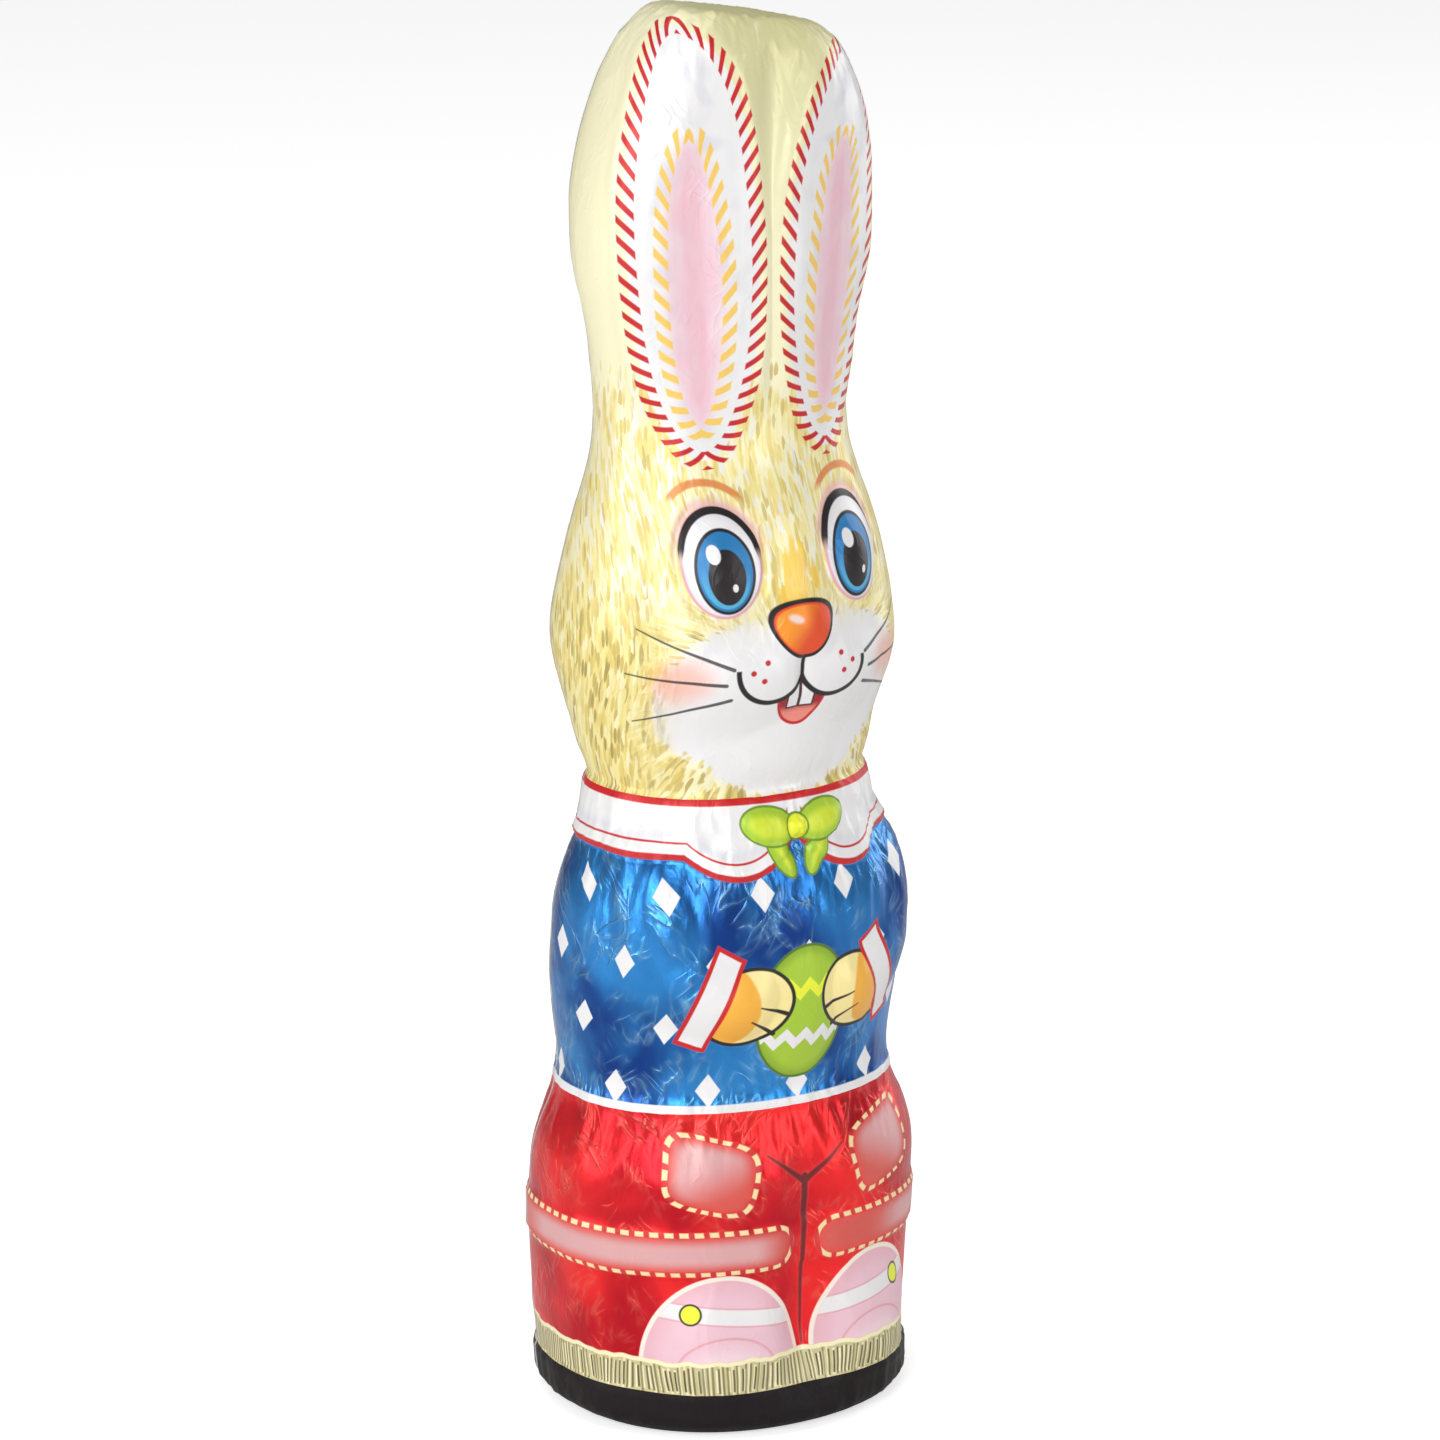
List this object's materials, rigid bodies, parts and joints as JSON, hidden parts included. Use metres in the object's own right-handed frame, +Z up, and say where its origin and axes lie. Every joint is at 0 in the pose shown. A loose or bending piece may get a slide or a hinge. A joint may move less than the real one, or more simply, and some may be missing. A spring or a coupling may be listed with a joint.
{
  "type": "foil-wrapped chocolate bunny",
  "caption": "Upright hollow chocolate rabbit in a close-fitting printed foil wrap, tall joined ears over a round head, standing on a flat sole.",
  "frame": {"origin": "middle of the flat sole, on the surface that the rabbit stands on", "axes": "+Z up through the ears, -Y the way the rabbit faces, +X towards its left side"},
  "size_m": [0.051, 0.0454, 0.1806],
  "materials": {
    "printed_foil": "satin printed foil: cream ears and head, blue top, red trousers, black base band"
  },
  "bodies": {
    "root": {"foil_bunny": "printed_foil"}
  },
  "joints": []
}
